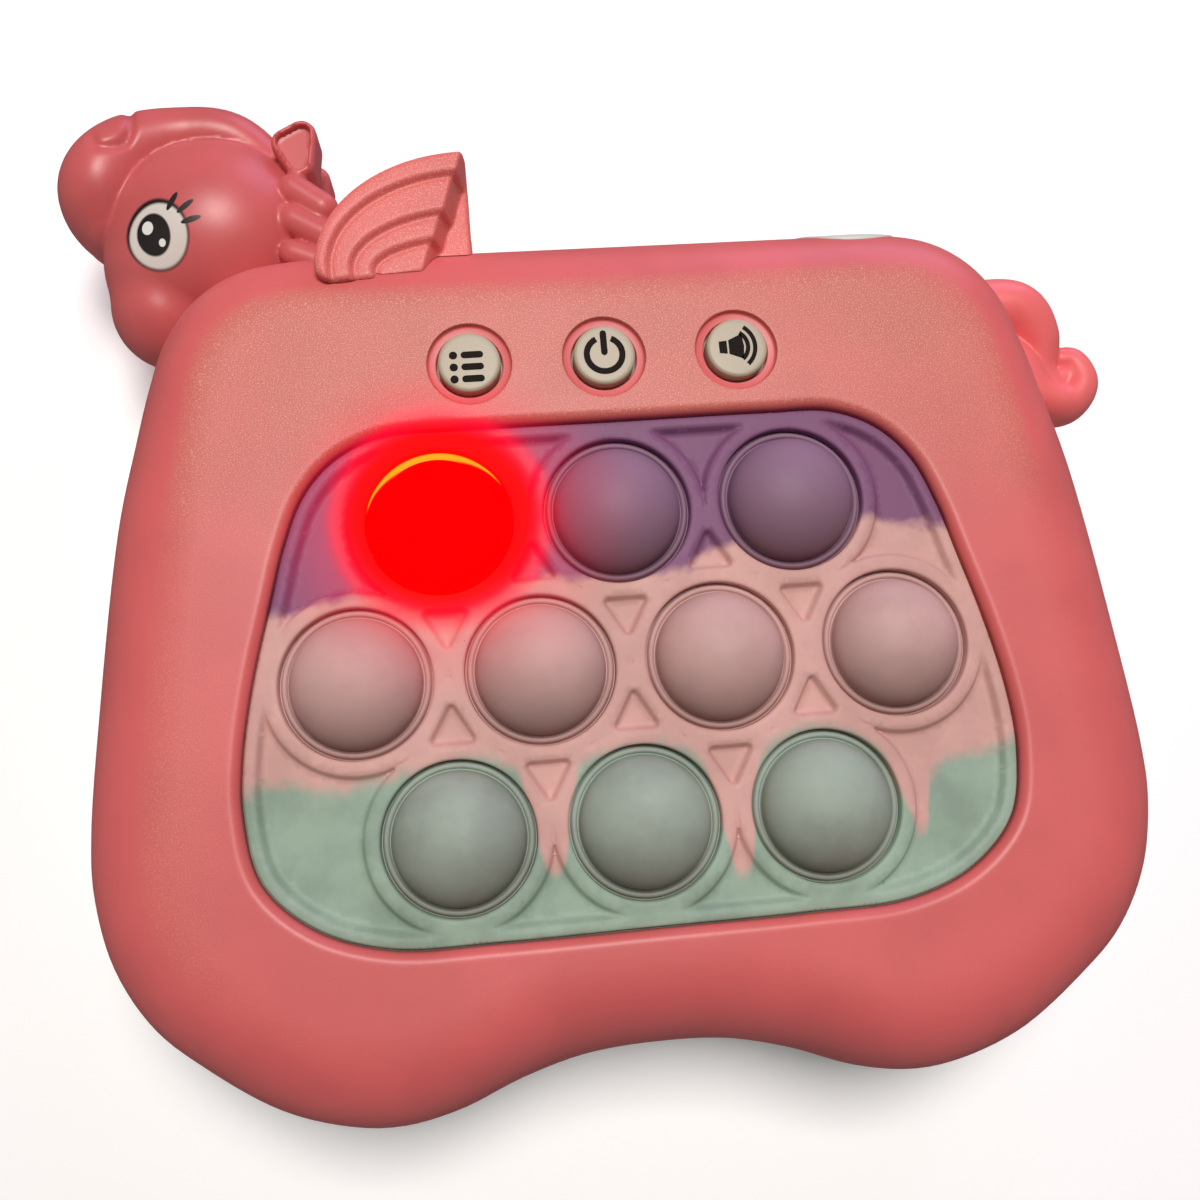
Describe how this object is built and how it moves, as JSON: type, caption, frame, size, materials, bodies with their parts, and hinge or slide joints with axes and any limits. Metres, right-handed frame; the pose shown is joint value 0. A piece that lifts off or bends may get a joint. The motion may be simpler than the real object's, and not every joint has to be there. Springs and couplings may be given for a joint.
{
  "type": "electronic bubble pop game",
  "caption": "Hand-held game console shaped as a winged pony, with rows of light-up silicone bubbles that press down, function buttons, a speaker and a battery bay.",
  "frame": {"origin": "middle of the footprint, on the flat back that the toy lies on", "axes": "+Z out of the bubble face, +Y towards the head and the buttons, +X to the right as the bubbles are faced"},
  "size_m": [0.1606, 0.1514, 0.0442],
  "materials": {
    "pink_shell": "satin coral pink with a fine pearl glitter",
    "pale_shell": "satin, pale grey-white",
    "silicone_pad": "matte translucent silicone, blended from violet to peach to mint",
    "silicone_bubble": "matte translucent silicone, violet, pink or mint by its place on the pad",
    "silicone_lit": "matte translucent silicone, lit red from below",
    "clear_cap": "frosted clear",
    "white_frame": "moulded, satin",
    "white_button": "satin white with dark icons",
    "green_board": "solder mask",
    "black_plastic": "satin",
    "battery_sleeve": "glossy printed sleeve, plain",
    "contact_steel": "nickel plated spring steel",
    "screw_steel": "zinc plated",
    "red_wire": "insulated wire",
    "black_wire": "insulated wire"
  },
  "bodies": {
    "console": {"front_shell": "pink_shell", "back_shell": "pale_shell", "bubble_pad": "silicone_pad", "cap_frame": "white_frame", "main_board": "green_board", "speaker": "black_plastic", "speaker_wire": "red_wire", "switch_01": "black_plastic", "switch_02": "black_plastic", "switch_03": "black_plastic", "switch_04": "black_plastic", "switch_05": "black_plastic", "switch_06": "black_plastic", "switch_07": "black_plastic", "switch_08": "black_plastic", "switch_09": "black_plastic", "switch_10": "black_plastic", "battery_1": "battery_sleeve", "battery_2": "battery_sleeve", "battery_3": "battery_sleeve", "positive_contact": "contact_steel", "negative_contact": "contact_steel", "bridge_contact_1": "contact_steel", "bridge_contact_2": "contact_steel", "battery_wire_positive": "red_wire", "battery_wire_negative": "black_wire", "housing_screw_1": "screw_steel", "housing_screw_2": "screw_steel", "housing_screw_3": "screw_steel", "housing_screw_4": "screw_steel", "head_front": "pink_shell", "head_back": "pink_shell", "wing_front": "pink_shell", "wing_back": "pink_shell", "tail": "pink_shell"},
    "bubble_01": {"bubble_01": "silicone_lit", "light_cap_01": "clear_cap"},
    "bubble_02": {"bubble_02": "silicone_bubble", "light_cap_02": "clear_cap"},
    "bubble_03": {"bubble_03": "silicone_bubble", "light_cap_03": "clear_cap"},
    "bubble_04": {"bubble_04": "silicone_bubble", "light_cap_04": "clear_cap"},
    "bubble_05": {"bubble_05": "silicone_bubble", "light_cap_05": "clear_cap"},
    "bubble_06": {"bubble_06": "silicone_bubble", "light_cap_06": "clear_cap"},
    "bubble_07": {"bubble_07": "silicone_bubble", "light_cap_07": "clear_cap"},
    "bubble_08": {"bubble_08": "silicone_bubble", "light_cap_08": "clear_cap"},
    "bubble_09": {"bubble_09": "silicone_bubble", "light_cap_09": "clear_cap"},
    "bubble_10": {"bubble_10": "silicone_bubble", "light_cap_10": "clear_cap"},
    "menu_button": {"menu_button": "white_button"},
    "power_button": {"power_button": "white_button"},
    "volume_button": {"volume_button": "white_button"},
    "battery_door": {"battery_door": "pale_shell", "door_screw": "screw_steel"}
  },
  "joints": [
    {"name": "bubble_01_press", "type": "slide", "parent": "console", "child": "bubble_01", "axis": [0, 0, -1], "range_m": [0, 0.0022], "stiffness_N_per_m": 500, "springref_m": -0.0002},
    {"name": "bubble_02_press", "type": "slide", "parent": "console", "child": "bubble_02", "axis": [0, 0, -1], "range_m": [0, 0.0022], "stiffness_N_per_m": 500, "springref_m": -0.0002},
    {"name": "bubble_03_press", "type": "slide", "parent": "console", "child": "bubble_03", "axis": [0, 0, -1], "range_m": [0, 0.0022], "stiffness_N_per_m": 500, "springref_m": -0.0002},
    {"name": "bubble_04_press", "type": "slide", "parent": "console", "child": "bubble_04", "axis": [0, 0, -1], "range_m": [0, 0.0022], "stiffness_N_per_m": 500, "springref_m": -0.0002},
    {"name": "bubble_05_press", "type": "slide", "parent": "console", "child": "bubble_05", "axis": [0, 0, -1], "range_m": [0, 0.0022], "stiffness_N_per_m": 500, "springref_m": -0.0002},
    {"name": "bubble_06_press", "type": "slide", "parent": "console", "child": "bubble_06", "axis": [0, 0, -1], "range_m": [0, 0.0022], "stiffness_N_per_m": 500, "springref_m": -0.0002},
    {"name": "bubble_07_press", "type": "slide", "parent": "console", "child": "bubble_07", "axis": [0, 0, -1], "range_m": [0, 0.0022], "stiffness_N_per_m": 500, "springref_m": -0.0002},
    {"name": "bubble_08_press", "type": "slide", "parent": "console", "child": "bubble_08", "axis": [0, 0, -1], "range_m": [0, 0.0022], "stiffness_N_per_m": 500, "springref_m": -0.0002},
    {"name": "bubble_09_press", "type": "slide", "parent": "console", "child": "bubble_09", "axis": [0, 0, -1], "range_m": [0, 0.0022], "stiffness_N_per_m": 500, "springref_m": -0.0002},
    {"name": "bubble_10_press", "type": "slide", "parent": "console", "child": "bubble_10", "axis": [0, 0, -1], "range_m": [0, 0.0022], "stiffness_N_per_m": 500, "springref_m": -0.0002},
    {"name": "menu_button_press", "type": "slide", "parent": "console", "child": "menu_button", "axis": [0, 0, -1], "range_m": [0, 0.0008], "stiffness_N_per_m": 1200, "springref_m": -0.0002},
    {"name": "power_button_press", "type": "slide", "parent": "console", "child": "power_button", "axis": [0, 0, -1], "range_m": [0, 0.0008], "stiffness_N_per_m": 1200, "springref_m": -0.0002},
    {"name": "volume_button_press", "type": "slide", "parent": "console", "child": "volume_button", "axis": [0, 0, -1], "range_m": [0, 0.0008], "stiffness_N_per_m": 1200, "springref_m": -0.0002},
    {"name": "battery_door_hinge", "type": "hinge", "parent": "console", "child": "battery_door", "pos_m": [-0.00088, 0.0062, 0], "axis": [1, 0, 0], "range_deg": [0, 75]}
  ]
}
